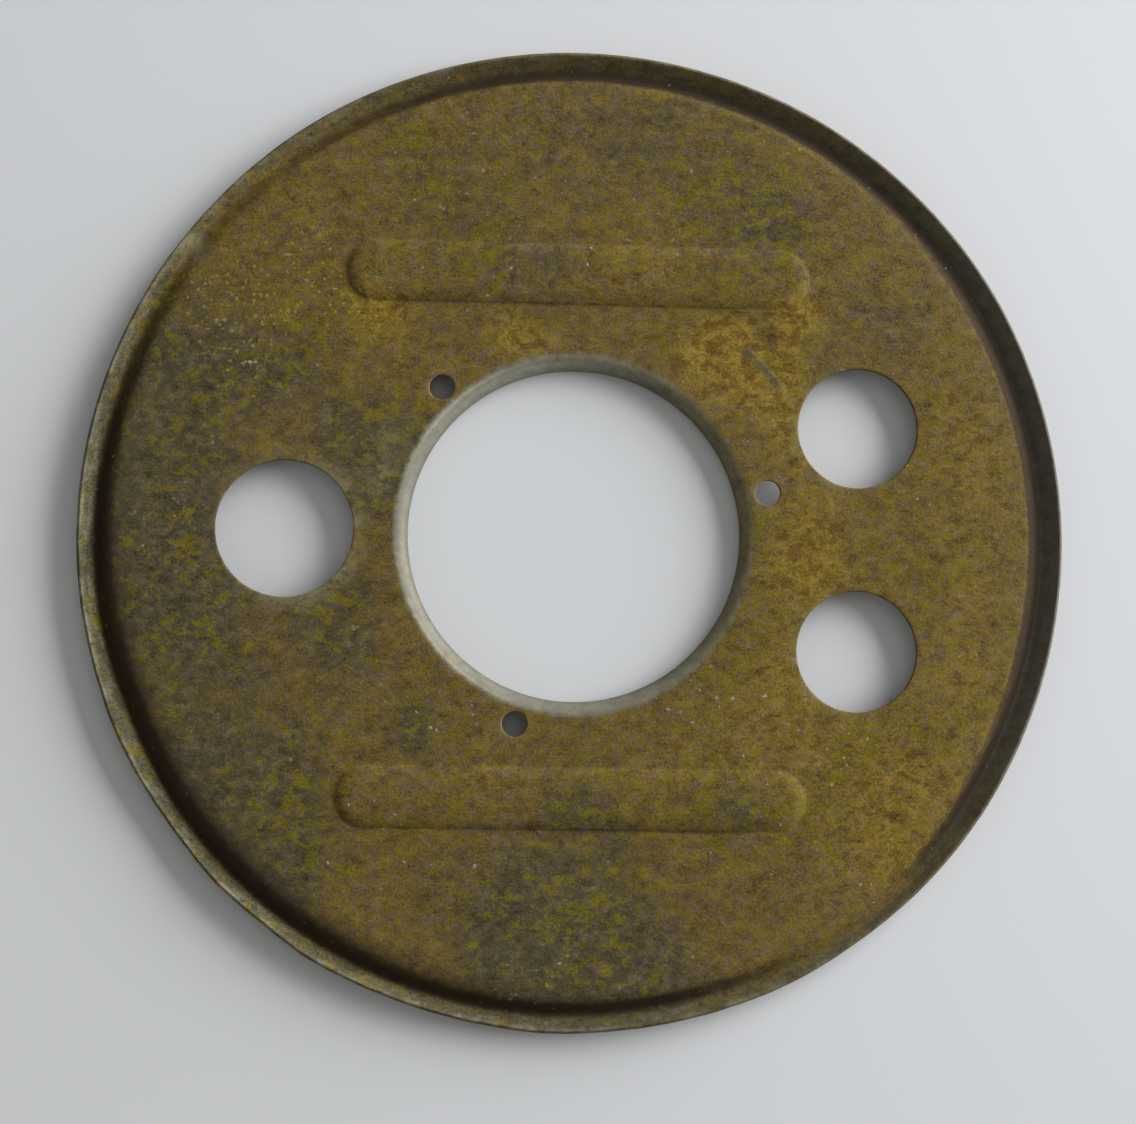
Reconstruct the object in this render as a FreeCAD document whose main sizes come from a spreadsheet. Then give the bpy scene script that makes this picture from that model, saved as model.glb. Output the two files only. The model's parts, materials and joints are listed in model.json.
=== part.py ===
import FreeCAD, Part
import math
import os

import Sketcher
from FreeCAD import Placement, Rotation, Vector

# A cover disc pressed from one sheet of steel. The web is flat; its rim drops into a stiffening
# groove and flares up again to a lip; its centre is drawn down into a short collar. Two long ribs
# are embossed upwards, one each side of the collar. Three screw holes stand close round the
# collar and three large holes stand further out, one on the left and two on the right.
#
# Frame: the origin is at the centre of the collar's foot, which the disc rests on. +Z is the
# disc's axis, towards the side that the ribs stand out of. The single large hole is on -X and the
# pair of large holes is on +X, so the XZ plane halves everything but the screw holes.

NODE = "cover_disc"

# Driving dimensions, in millimetres and degrees. Radii at bends are those of the upper side.
DIMENSIONS = {
    "sheet_thickness": 1.0,
    "disc_diameter": 222.0,
    "bore_diameter": 75.2,
    "collar_height": 5.0,
    "collar_bend_radius": 3.0,
    "shoulder_start_diameter": 205.0,
    "shoulder_radius": 2.2,
    "groove_slope": 45.0,
    "groove_depth": 2.9,
    "groove_radius": 1.0,
    "lip_slope": 47.0,
    "rib_length": 105.0,
    "rib_width": 14.0,
    "rib_height": 1.2,
    "rib_offset": 59.0,
    "rib_slope": 40.0,
    "rib_edge_radius": 1.2,
    "rib_hollow_radius": 0.6,
    "screw_circle_diameter": 89.2,
    "screw_hole_diameter": 5.6,
    "screw_hole_count": 3,
    "screw_pattern_angle": 13.2,
    "single_hole_diameter": 30.6,
    "single_hole_distance": 64.9,
    "pair_hole_diameter": 27.2,
    "pair_hole_distance": 63.8,
    "pair_hole_offset": 25.3,
}

# How a sketch names an element's points, its own origin and its own vertical axis.
START, END, CENTRE = 1, 2, 3
AXES, ORIGIN = -1, 1
UPRIGHT_AXIS = -2

# How far, in millimetres, an edge may lie from the level that it is looked for at.
LEVEL_TOLERANCE = 0.001
# The most that the ribs may add to the disc's volume, and how closely punching must match, as fractions.
RIB_SHARE = 0.05
PUNCHING_TOLERANCE = 0.01


def fill_sheet(doc):
    """Keeps each driving dimension in a spreadsheet cell with its name as the alias."""
    sheet = doc.addObject("Spreadsheet::Sheet", "dimensions")
    for row, (name, value) in enumerate(DIMENSIONS.items(), start=1):
        sheet.set("A%d" % row, name)
        sheet.set("B%d" % row, str(value))
        sheet.setAlias("B%d" % row, name)
    doc.recompute()


def origin_feature(body, role):
    """Gives the body's origin plane or axis that has this role."""
    return next(item for item in body.Origin.OriginFeatures if item.Role == role)


def new_sketch(body, name, role, lift=None):
    """Puts a sketch on one of the body's origin planes, lifted by an expression."""
    sketch = body.newObject("Sketcher::SketchObject", name)
    sketch.AttachmentSupport = [(origin_feature(body, role), "")]
    sketch.MapMode = "FlatFace"
    if lift:
        sketch.setExpression("AttachmentOffset.Base.z", lift)
    return sketch


def bind(sketch, kind, places, expression):
    """Adds a constraint whose value is read from the sheet through an expression."""
    value = float(sketch.evalExpression(expression))
    index = sketch.addConstraint(Sketcher.Constraint(kind, *places, value))
    sketch.setExpression("Constraints[%d]" % index, expression)


def bind_slope(sketch, place, expression):
    """Holds a line's angle to the sketch's horizontal axis, in degrees, at an expression's value."""
    value = math.radians(sketch.evalExpression(expression))
    index = sketch.addConstraint(Sketcher.Constraint("Angle", place, value))
    sketch.setExpression("Constraints[%d]" % index, "(%s) * 1 deg" % expression)


def join(sketch, kind, *places):
    """Adds a constraint that has no value."""
    sketch.addConstraint(Sketcher.Constraint(kind, *places))


def line(start, end):
    """Gives a straight segment between two points of a sketch."""
    return Part.LineSegment(Vector(*start, 0), Vector(*end, 0))


def arc(centre, radius, first_degrees, last_degrees):
    """Gives an arc of a sketch, anticlockwise between two angles."""
    circle = Part.Circle(Vector(*centre, 0), Vector(0, 0, 1), radius)
    return Part.ArcOfCircle(circle, math.radians(first_degrees), math.radians(last_degrees))


def section_points():
    """Gives the centres of the section's three bends and the upper corner of the lip's edge."""
    size = DIMENSIONS
    down = math.radians(size["groove_slope"])
    up = math.radians(size["lip_slope"])
    web = size["collar_height"]
    collar = (size["bore_diameter"] / 2 + size["collar_bend_radius"], web - size["collar_bend_radius"])
    shoulder = (size["shoulder_start_diameter"] / 2, web - size["shoulder_radius"])
    floor = web - size["groove_depth"]
    bends = size["shoulder_radius"] + size["groove_radius"]
    fall = shoulder[1] - floor - size["groove_radius"] + bends * math.cos(down)
    groove = (
        shoulder[0] + bends * math.sin(down) + fall / math.tan(down),
        floor + size["groove_radius"],
    )
    lip_radius = size["disc_diameter"] / 2 - size["sheet_thickness"] * math.sin(up)
    wall = lip_radius - groove[0] - size["groove_radius"] * math.sin(up)
    lip = (lip_radius, groove[1] - size["groove_radius"] * math.cos(up) + wall * math.tan(up))
    return collar, shoulder, groove, lip


def side_of_sheet(depth):
    """Draws one side of the sheet from collar to lip, depth below the upper side.

    Every bend keeps its centre, so the two sides run parallel all the way.
    """
    size = DIMENSIONS
    down = size["groove_slope"]
    up = size["lip_slope"]
    collar, shoulder, groove, lip = section_points()
    collar_bend = arc(collar, size["collar_bend_radius"] - depth, 90, 180)
    shoulder_bend = arc(shoulder, size["shoulder_radius"] - depth, 90 - down, 90)
    valley = arc(groove, size["groove_radius"] + depth, 270 - down, 270 + up)
    lean = math.radians(up)
    edge = (lip[0] + depth * math.sin(lean), lip[1] - depth * math.cos(lean))
    foot = (size["bore_diameter"] / 2 + depth, 0)
    return [
        line(foot, (foot[0], collar[1])),
        collar_bend,
        line((collar[0], size["collar_height"] - depth), (shoulder[0], size["collar_height"] - depth)),
        shoulder_bend,
        line(tuple(shoulder_bend.StartPoint)[:2], tuple(valley.StartPoint)[:2]),
        valley,
        line(tuple(valley.EndPoint)[:2], edge),
    ]


def add_section(body):
    """Draws the sheet's section in the XZ plane, from the collar's foot out to the lip's edge."""
    sketch = new_sketch(body, "section", "XZ_Plane")
    upper = sketch.addGeometry(side_of_sheet(0), False)
    lower = sketch.addGeometry(side_of_sheet(DIMENSIONS["sheet_thickness"]), False)
    for wall, bend, web, shoulder, slope, valley, lip in (upper, lower):
        join(sketch, "Tangent", wall, END, bend, END)
        join(sketch, "Tangent", bend, START, web, START)
        join(sketch, "Tangent", web, END, shoulder, END)
        join(sketch, "Tangent", shoulder, START, slope, START)
        join(sketch, "Tangent", slope, END, valley, START)
        join(sketch, "Tangent", valley, END, lip, START)
    for above, below in zip(upper, lower):
        if above in (upper[1], upper[3], upper[5]):
            join(sketch, "Coincident", above, CENTRE, below, CENTRE)
    foot, edge = sketch.addGeometry([
        line((sketch.getPoint(upper[0], START).x, 0), (sketch.getPoint(lower[0], START).x, 0)),
        line(tuple(sketch.getPoint(upper[6], END))[:2], tuple(sketch.getPoint(lower[6], END))[:2]),
    ], False)
    join(sketch, "Coincident", foot, START, upper[0], START)
    join(sketch, "Coincident", foot, END, lower[0], START)
    join(sketch, "Coincident", edge, START, upper[6], END)
    join(sketch, "Coincident", edge, END, lower[6], END)
    join(sketch, "Vertical", upper[0])
    join(sketch, "Vertical", lower[0])
    join(sketch, "Horizontal", foot)
    join(sketch, "Horizontal", upper[2])
    join(sketch, "Parallel", upper[6], lower[6])
    join(sketch, "Perpendicular", edge, upper[6])
    join(sketch, "PointOnObject", foot, START, AXES)
    bind(sketch, "DistanceX", (AXES, ORIGIN, foot, START), "dimensions.bore_diameter / 2")
    bind(sketch, "DistanceY", (AXES, ORIGIN, upper[2], START), "dimensions.collar_height")
    bind(sketch, "DistanceX", (AXES, ORIGIN, upper[3], CENTRE), "dimensions.shoulder_start_diameter / 2")
    bind(sketch, "DistanceY", (AXES, ORIGIN, upper[5], CENTRE),
         "dimensions.collar_height - dimensions.groove_depth + dimensions.groove_radius")
    bind(sketch, "DistanceX", (AXES, ORIGIN, edge, END), "dimensions.disc_diameter / 2")
    bind_slope(sketch, upper[4], "-dimensions.groove_slope")
    bind_slope(sketch, upper[6], "dimensions.lip_slope")
    bind(sketch, "Radius", (upper[1],), "dimensions.collar_bend_radius")
    bind(sketch, "Radius", (upper[3],), "dimensions.shoulder_radius")
    bind(sketch, "Radius", (upper[5],), "dimensions.groove_radius")
    bind(sketch, "Radius", (lower[1],), "dimensions.collar_bend_radius - dimensions.sheet_thickness")
    bind(sketch, "Radius", (lower[3],), "dimensions.shoulder_radius - dimensions.sheet_thickness")
    bind(sketch, "Radius", (lower[5],), "dimensions.groove_radius + dimensions.sheet_thickness")
    return sketch


def add_web(body):
    """Turns the sheet's section once round the disc's axis."""
    web = body.newObject("PartDesign::Revolution", "web")
    web.Profile = add_section(body)
    web.ReferenceAxis = (web.Profile[0], ["V_Axis"])
    web.Angle = 360
    return web


def draw_slot(sketch, length, width, offset):
    """Draws a slot with round ends along X, centred on the Y axis at a height of offset."""
    half, radius, height = (float(sketch.evalExpression(text)) for text in (
        "(%s - (%s)) / 2" % (length, width), "(%s) / 2" % width, offset))
    right, top, left, bottom = sketch.addGeometry([
        arc((half, height), radius, -90, 90),
        line((half, height + radius), (-half, height + radius)),
        arc((-half, height), radius, 90, 270),
        line((-half, height - radius), (half, height - radius)),
    ], False)
    join(sketch, "Tangent", right, END, top, START)
    join(sketch, "Tangent", top, END, left, START)
    join(sketch, "Tangent", left, END, bottom, START)
    join(sketch, "Tangent", bottom, END, right, START)
    join(sketch, "Horizontal", top)
    join(sketch, "Symmetric", left, CENTRE, right, CENTRE, UPRIGHT_AXIS)
    bind(sketch, "Radius", (right,), "(%s) / 2" % width)
    bind(sketch, "DistanceX", (AXES, ORIGIN, right, CENTRE), "(%s - (%s)) / 2" % (length, width))
    bind(sketch, "DistanceY", (AXES, ORIGIN, right, CENTRE), offset)


def draw_rib(body, name, lift, margin):
    """Draws both ribs at one level, each outline standing back from the rib's foot by margin."""
    sketch = new_sketch(body, name, "XY_Plane", lift)
    length = "dimensions.rib_length - 2 * (%s)" % margin
    width = "dimensions.rib_width - 2 * (%s)" % margin
    for offset in ("dimensions.rib_offset", "-dimensions.rib_offset"):
        draw_slot(sketch, length, width, offset)
    return sketch


def add_ribs(doc, body):
    """Embosses the two ribs: sloped slots raised on the upper side and hollowed from below.

    The hollow stands back from the rib's outline by the amount that keeps the sloped walls as
    thick as the sheet.
    """
    raised = body.newObject("PartDesign::Pad", "raised_ribs")
    raised.Profile = draw_rib(body, "rib_outline", "dimensions.collar_height", "0")
    raised.setExpression("Length", "dimensions.rib_height")
    raised.setExpression("TaperAngle", "(dimensions.rib_slope - 90) * 1 deg")
    doc.recompute()
    hollow = body.newObject("PartDesign::Pocket", "hollow_ribs")
    hollow.Profile = draw_rib(
        body, "hollow_outline", "dimensions.collar_height - dimensions.sheet_thickness",
        "dimensions.sheet_thickness * tan(dimensions.rib_slope / 2 * 1 deg)")
    hollow.Reversed = True
    hollow.setExpression("Length", "dimensions.rib_height")
    hollow.setExpression("TaperAngle", "(dimensions.rib_slope - 90) * 1 deg")
    doc.recompute()
    return raised, hollow


def rib_edges(shape, level):
    """Names the edges of the ribs' outlines at one height."""
    reach = DIMENSIONS["rib_length"] / 2
    near = DIMENSIONS["rib_offset"] - DIMENSIONS["rib_width"]
    far = DIMENSIONS["rib_offset"] + DIMENSIONS["rib_width"]
    names = []
    for number, edge in enumerate(shape.Edges, start=1):
        box = edge.BoundBox
        flat = max(abs(box.ZMin - level), abs(box.ZMax - level)) < LEVEL_TOLERANCE
        beside = near < min(abs(box.YMin), abs(box.YMax)) and max(abs(box.YMin), abs(box.YMax)) < far
        within = max(abs(box.XMin), abs(box.XMax)) <= reach + LEVEL_TOLERANCE
        if flat and beside and within:
            names.append("Edge%d" % number)
    return names


def soften_ribs(doc, body):
    """Rounds the ribs' crests and feet, on the upper side and inside the hollows."""
    size = DIMENSIONS
    under = size["collar_height"] - size["sheet_thickness"]
    levels = {
        "crest": (size["collar_height"] + size["rib_height"], "dimensions.rib_edge_radius"),
        "foot": (size["collar_height"], "dimensions.rib_edge_radius"),
        "roof": (under + size["rib_height"], "dimensions.rib_hollow_radius"),
        "mouth": (under, "dimensions.rib_hollow_radius"),
    }
    for name, (level, radius) in levels.items():
        base = body.Tip
        fillet = body.newObject("PartDesign::Fillet", "rib_" + name)
        fillet.Base = (base, rib_edges(base.Shape, level))
        fillet.setExpression("Radius", radius)
        doc.recompute()


def punch(doc, body, name, diameter, across, up):
    """Punches one round hole through the web at the place given by two expressions."""
    sketch = new_sketch(body, name + "_outline", "XY_Plane", "dimensions.collar_height")
    centre = (float(sketch.evalExpression(across)), float(sketch.evalExpression(up)))
    radius = float(sketch.evalExpression(diameter)) / 2
    hole = sketch.addGeometry(Part.Circle(Vector(*centre, 0), Vector(0, 0, 1), radius), False)
    bind(sketch, "Radius", (hole,), diameter + " / 2")
    bind(sketch, "DistanceX", (AXES, ORIGIN, hole, CENTRE), across)
    bind(sketch, "DistanceY", (AXES, ORIGIN, hole, CENTRE), up)
    pocket = body.newObject("PartDesign::Pocket", name)
    pocket.Profile = sketch
    pocket.Type = "ThroughAll"
    doc.recompute()
    return pocket


def repeat_round_axis(doc, body, original, count):
    """Repeats a hole round the disc's axis as often as an expression says."""
    pattern = body.newObject("PartDesign::PolarPattern", original.Name + "_circle")
    pattern.Originals = [original]
    pattern.Axis = (origin_feature(body, "Z_Axis"), [""])
    pattern.Angle = 360
    pattern.setExpression("Occurrences", count)
    body.Tip = pattern
    doc.recompute()


def mirror_across(doc, body, original, role):
    """Repeats a hole on the far side of one of the body's origin planes."""
    mirrored = body.newObject("PartDesign::Mirrored", original.Name + "_pair")
    mirrored.Originals = [original]
    mirrored.MirrorPlane = (origin_feature(body, role), [""])
    body.Tip = mirrored
    doc.recompute()


def punch_holes(doc, body):
    """Punches the three screw holes, the single large hole and the pair of large holes."""
    turn = "dimensions.screw_pattern_angle * 1 deg"
    circle = "dimensions.screw_circle_diameter / 2"
    screw = punch(doc, body, "screw_hole", "dimensions.screw_hole_diameter",
                  "%s * cos(%s)" % (circle, turn), "%s * sin(%s)" % (circle, turn))
    repeat_round_axis(doc, body, screw, "dimensions.screw_hole_count")
    punch(doc, body, "single_hole", "dimensions.single_hole_diameter",
          "-dimensions.single_hole_distance", "0")
    pair = punch(doc, body, "pair_hole", "dimensions.pair_hole_diameter",
                 "dimensions.pair_hole_distance", "dimensions.pair_hole_offset")
    mirror_across(doc, body, pair, "XZ_Plane")


def check_volume_change(name, before, after, expected):
    """Stops if a step took away something other than the volume that its sizes give."""
    if abs((before - after) - expected) > PUNCHING_TOLERANCE * abs(expected):
        raise RuntimeError("%s took away %.1f mm3, not %.1f" % (name, before - after, expected))


def hole_volume(diameter, count):
    """Gives the volume that some round holes take out of the web, in cubic millimetres."""
    return count * math.pi * (diameter / 2) ** 2 * DIMENSIONS["sheet_thickness"]


def build_disc(doc):
    """Builds the disc's body step by step, and stops if a step doesn't do what it should."""
    body = doc.addObject("PartDesign::Body", NODE)
    body.Label = NODE
    body.Placement = Placement(Vector(0, 0, 0), Rotation())
    add_web(body)
    doc.recompute()
    plain = body.Shape.Volume
    add_ribs(doc, body)
    soften_ribs(doc, body)
    pressed = body.Shape.Volume
    if not plain < pressed < (1 + RIB_SHARE) * plain:
        raise RuntimeError("the ribs are not the thin raised walls that they should be")
    punch_holes(doc, body)
    size = DIMENSIONS
    holes = (
        hole_volume(size["screw_hole_diameter"], size["screw_hole_count"])
        + hole_volume(size["single_hole_diameter"], 1)
        + hole_volume(size["pair_hole_diameter"], 2)
    )
    check_volume_change("punching", pressed, body.Shape.Volume, holes)
    return body


def check_document(doc):
    """Stops if any feature of the document failed to build."""
    for item in doc.Objects:
        if "Invalid" in item.State or "Error" in item.State:
            raise RuntimeError("%s did not build: %s" % (item.Label, item.State))


def main():
    """Builds the document, checks that the disc is one solid and writes its STEP file."""
    doc = FreeCAD.newDocument("cover_disc_design")
    fill_sheet(doc)
    body = build_disc(doc)
    doc.recompute()
    check_document(doc)
    shape = body.Shape
    if shape.isNull() or not shape.isValid() or len(shape.Solids) != 1:
        raise RuntimeError("the disc is not one valid solid")
    os.makedirs("parts", exist_ok=True)
    shape.exportStep("parts/%s.step" % body.Label)
    box = shape.optimalBoundingBox(True, False)
    print("%s: volume %.1f mm3, %.2f x %.2f x %.2f mm" % (
        body.Label, shape.Volume, box.XLength, box.YLength, box.ZLength))


main()
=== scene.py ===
"""Cover disc: a worn disc pressed from one sheet of steel, shown lying on its collar.

The sheet is worked out as a flat blank whose points are then pressed: a place on the blank is
two numbers, and the pressed surface is a function of them. All lengths are in metres.
"""

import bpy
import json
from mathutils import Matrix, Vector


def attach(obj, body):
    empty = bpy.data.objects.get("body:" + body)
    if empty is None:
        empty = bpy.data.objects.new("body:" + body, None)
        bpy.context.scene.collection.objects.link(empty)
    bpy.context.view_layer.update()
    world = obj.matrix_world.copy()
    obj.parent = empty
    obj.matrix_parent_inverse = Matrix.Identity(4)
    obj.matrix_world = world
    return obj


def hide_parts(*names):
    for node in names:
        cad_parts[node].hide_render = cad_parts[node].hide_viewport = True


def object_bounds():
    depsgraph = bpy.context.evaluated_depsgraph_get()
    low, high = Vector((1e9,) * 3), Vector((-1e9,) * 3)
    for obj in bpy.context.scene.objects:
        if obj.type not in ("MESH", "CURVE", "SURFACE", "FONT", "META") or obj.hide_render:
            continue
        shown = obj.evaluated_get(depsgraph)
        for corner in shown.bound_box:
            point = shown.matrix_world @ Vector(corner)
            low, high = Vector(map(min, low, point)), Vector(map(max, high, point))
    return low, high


bl_info = {
    "name": "Cover Disc",
    "version": (1, 0, 0),
    "blender": (4, 5, 0),
    "location": "View3D > Sidebar > Cover Disc",
    "description": "Presses a worn sheet-steel cover disc and sets its stage",
    "category": "Add Mesh",
}

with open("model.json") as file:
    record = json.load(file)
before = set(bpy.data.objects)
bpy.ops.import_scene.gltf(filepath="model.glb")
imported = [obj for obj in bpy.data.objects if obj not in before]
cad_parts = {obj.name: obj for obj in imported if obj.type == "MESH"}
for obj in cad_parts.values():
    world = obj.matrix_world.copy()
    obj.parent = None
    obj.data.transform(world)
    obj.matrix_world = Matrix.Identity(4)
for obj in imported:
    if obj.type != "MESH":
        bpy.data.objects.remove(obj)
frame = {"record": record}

import json
from collections import namedtuple
from math import cos, pi, radians, sin

import bpy
import numpy as np
from bpy.props import FloatProperty, FloatVectorProperty, IntProperty, PointerProperty
from mathutils import Matrix, Vector
from mathutils.geometry import delaunay_2d_cdt

MM = 0.001
CAD_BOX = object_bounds()
RECORD = frame["record"]
MOUNTS = {mount["name"]: mount for mount in RECORD["mounts"]}
SCREW_CIRCLE = MOUNTS["screw_circle"]["dims"]
WEB_HEIGHT = MOUNTS["web_face"]["pos_m"][2]


def opening_centre(name):
    """Gives the middle of one of the record's openings, seen from above."""
    low, high = next(item["box_m"] for item in RECORD["physics"]["openings"] if item["name"] == name)
    return (low[0] + high[0]) / 2, (low[1] + high[1]) / 2


def length(name, description, default):
    """A size in metres, shown in the scene's unit."""
    return FloatProperty(name=name, description=description, default=default, min=0.0,
                         precision=5, unit="LENGTH")


def angle(name, description, degrees):
    """An angle, given here in degrees and kept in radians."""
    return FloatProperty(name=name, description=description, default=radians(degrees), unit="ROTATION")


def amount(name, description, default):
    """A plain number from 0 up."""
    return FloatProperty(name=name, description=description, default=default, min=0.0)


def colour(name, description, default):
    """A colour in linear red, green and blue."""
    return FloatVectorProperty(name=name, description=description, default=default, size=3,
                               min=0.0, max=1.0, subtype="COLOR")


class CoverDiscSizes(bpy.types.PropertyGroup):
    """Sizes of the pressing. Bend radii are those of the upper side."""

    sheet: length("Sheet", "Thickness of the sheet", 1.0 * MM)
    web_height: length("Web height", "Height of the web's upper side above the foot", WEB_HEIGHT)
    outer_radius: length("Outer radius", "Mean radius of the lip's edge", CAD_BOX[1].x - 0.38 * MM)
    bore_radius: length("Bore radius", "Radius inside the collar",
                        MOUNTS["centre_bore"]["dims"]["r_mm"] * MM)
    collar_bend: length("Collar bend", "Radius of the bend between web and collar", 3.0 * MM)
    shoulder_start: length("Shoulder start", "Radius at which the web starts to drop", 102.5 * MM)
    shoulder_bend: length("Shoulder bend", "Radius of the bend into the groove", 2.2 * MM)
    groove_depth: length("Groove depth", "Depth of the groove below the web", 2.9 * MM)
    groove_bend: length("Groove bend", "Radius of the groove's floor", 1.0 * MM)
    groove_slope: angle("Groove slope", "Slope of the groove's inner wall", 45.0)
    lip_slope: angle("Lip slope", "Slope of the lip", 47.0)
    rib_length: length("Rib length", "Length of a rib over its round ends", 105.0 * MM)
    rib_width: length("Rib width", "Width of a rib at its foot", 13.8 * MM)
    rib_height: length("Rib height", "Height of a rib above the web",
                       CAD_BOX[1].z - WEB_HEIGHT - 0.1 * MM)
    rib_offset: length("Rib offset", "Distance of a rib's middle from the disc's middle", 59.0 * MM)
    rib_side_run: length("Rib side run", "Width of the slope along a rib's sides", 5.6 * MM)
    rib_end_run: length("Rib end run", "Width of the slope round a rib's ends", 3.8 * MM)
    screw_turn: angle("Screw turn", "Turn of the first screw hole from the X axis", 13.2)
    screw_radius: length("Screw hole radius", "Radius of a screw hole", SCREW_CIRCLE["hole_r_mm"] * MM)
    single_radius: length("Single hole radius", "Radius of the large hole on its own", 15.3 * MM)
    pair_radius: length("Pair hole radius", "Radius of each of the two large holes", 13.6 * MM)
    edge_round: length("Edge round", "Depth of the rounding at cut edges", 0.3 * MM)
    spacing: length("Spacing", "Spacing of mesh points on the plain web", 1.35 * MM)


class CoverDiscWear(bpy.types.PropertyGroup):
    """How far the disc is from new."""

    knocks: amount("Knocks", "Scale of the dents round the lip", 1.0)
    ripple: length("Ripple", "Size of the small waves round the lip", 0.035 * MM)
    warp: length("Warp", "Unevenness of the web", 0.10 * MM)
    seed: IntProperty(name="Seed", description="Seed of the warp", default=7)


class CoverDiscFinish(bpy.types.PropertyGroup):
    """Colours and finish of the rusted sheet."""

    umber: colour("Umber", "Main tone of the rust", (0.143, 0.097, 0.019))
    olive: colour("Olive", "Greyer tone in patches", (0.073, 0.062, 0.030))
    orange: colour("Orange", "Fresh rust", (0.275, 0.180, 0.020))
    russet: colour("Russet", "Red-brown spots", (0.125, 0.070, 0.008))
    moss: colour("Moss", "Yellow-green spots", (0.128, 0.101, 0.004))
    mauve: colour("Mauve", "Purple-grey spots", (0.122, 0.087, 0.050))
    gold: colour("Gold", "Yellow grains", (0.30, 0.25, 0.035))
    # Soot is also the painted shade in the groove and along the ribs' lower sides, away from the light.
    soot_and_shade: colour("Soot", "Dirt in the groove and at the ribs' feet", (0.027, 0.016, 0.010))
    lip_grey: colour("Lip grey", "Thin greenish film on the lip", (0.070, 0.070, 0.042))
    # Painted shade: this dark grey lies on the lip on the side the light comes from, where it faces away.
    painted_shade_grey: colour("Oil grey", "Dark oily film on the lip of the lit side", (0.108, 0.102, 0.086))
    putty: colour("Putty", "Paler film where the lip is rubbed", (0.150, 0.132, 0.084))
    steel: colour("Steel", "Rubbed steel of the collar's bend", (0.200, 0.196, 0.152))
    wall_grey: colour("Wall grey", "Dull steel down the collar's wall", (0.112, 0.110, 0.080))
    # Painted highlight: this colour is the glint along the collar's bend, and a paler band down its wall.
    bright: colour("Bright", "Polished line where the collar turns down", (0.42, 0.41, 0.34))
    scuff: colour("Scuff", "Curved scuff beside the upper hole", (0.072, 0.066, 0.046))
    # Tan is also the painted light on the rim's shoulder on the side the light comes from.
    tan: colour("Tan", "Rubbed rust beside the holes", (0.235, 0.205, 0.115))
    chip: colour("Chip", "Pale chips and grit", (0.40, 0.36, 0.23))
    contrast: amount("Contrast", "Strength of the fine light and dark grain", 2.7)
    roughness: FloatProperty(name="Roughness", description="Roughness of the rust", default=0.82,
                             min=0.0, max=1.0)


class CoverDiscStage(bpy.types.PropertyGroup):
    """Camera, light and floor."""

    camera_distance: length("Camera distance", "Distance from the point aimed at", 448.0 * MM)
    camera_tilt: angle("Camera tilt", "Lean of the view from straight down", 5.24)
    camera_side: angle("Camera side", "Direction from the disc in which the camera stands", 235.6)
    camera_roll: angle("Camera roll", "Turn of the view about its own axis", 0.91)
    aim: FloatVectorProperty(name="Aim", description="Point on the web that the camera aims at",
                             default=(-1.54 * MM, -6.33 * MM, WEB_HEIGHT), size=3, subtype="XYZ_LENGTH")
    lens: FloatProperty(name="Lens", description="Focal length in millimetres", default=63.4)
    key_side: angle("Key side", "Direction from which the main light comes", 26.0)
    key_height: angle("Key height", "Height of the main light above the floor", 17.0)
    key_power: amount("Key power", "Power of the main light in watts", 76.0)
    lamp_distance: length("Lamp distance", "Distance of the lamps from the disc", 1.75)
    key_width: length("Key width", "Width of the main light", 1.8)
    key_tall: length("Key tall", "Height of the main light's face", 1.3)
    top_side: angle("Top side", "Turn of the upper light from the main light's direction", 25.0)
    top_height: angle("Top height", "Height of the upper light above the floor", 62.0)
    top_power: amount("Top power", "Power of the upper light in watts", 2.4)
    back_lift: angle("Back lift", "How much higher the light opposite stands than the main one", 12.0)
    back_power: amount("Back power", "Power of the light opposite in watts", 4.0)
    fill_power: amount("Fill power", "Strength of the light from all round", 0.18)
    sky: colour("Sky", "Colour of the light from all round", (1.0, 0.99, 0.88))
    floor: colour("Floor", "Colour of the floor", (0.70, 0.718, 0.755))
    floor_half: length("Floor half", "Half the width of the floor", 5.0)
    floor_gap: length("Floor gap", "Gap between the floor and the collar's foot", 0.02 * MM)


# Places on the blank.

def hole_places(sizes):
    """Lists (centre x, centre y, radius) of every round hole in the web."""
    count = SCREW_CIRCLE["count"]
    circle = SCREW_CIRCLE["pcd_mm"] / 2 * MM
    turns = [sizes.screw_turn + 2 * pi * k / count for k in range(count)]
    screws = [(circle * cos(turn), circle * sin(turn), sizes.screw_radius) for turn in turns]
    single = [(*opening_centre("single_large_hole"), sizes.single_radius)]
    pair = [(*opening_centre(f"{place}_pair_hole"), sizes.pair_radius) for place in ("upper", "lower")]
    return screws + single + pair


def ring(centre, radius, count, stagger=0.0):
    """A circle of evenly spaced points, turned by a fraction of their spacing."""
    turn = (np.arange(count) + stagger) * 2 * pi / count
    return np.column_stack([centre[0] + radius * np.cos(turn), centre[1] + radius * np.sin(turn)])


def slot_ring(half, radius, middle, spacing):
    """Points round a slot: a segment of the X direction, half long each way, widened by radius.

    The run is the distance round the outline. Clipping shares it between the straight sides,
    which move the point along X, and the half circles, which turn it.
    """
    side, bend = 2 * half, pi * radius
    perimeter = 2 * (side + bend)
    run = np.linspace(0, perimeter, int(perimeter / spacing), endpoint=False)
    forth = np.clip(run, 0, side)
    back = np.clip(run - side - bend, 0, side)
    right_end = np.clip((run - side) / radius, 0, pi)
    left_end = np.clip((run - 2 * side - bend) / radius, 0, pi)
    turn = right_end + left_end - pi / 2
    return np.column_stack([-half + forth - back + radius * np.cos(turn), middle + radius * np.sin(turn)])


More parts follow.
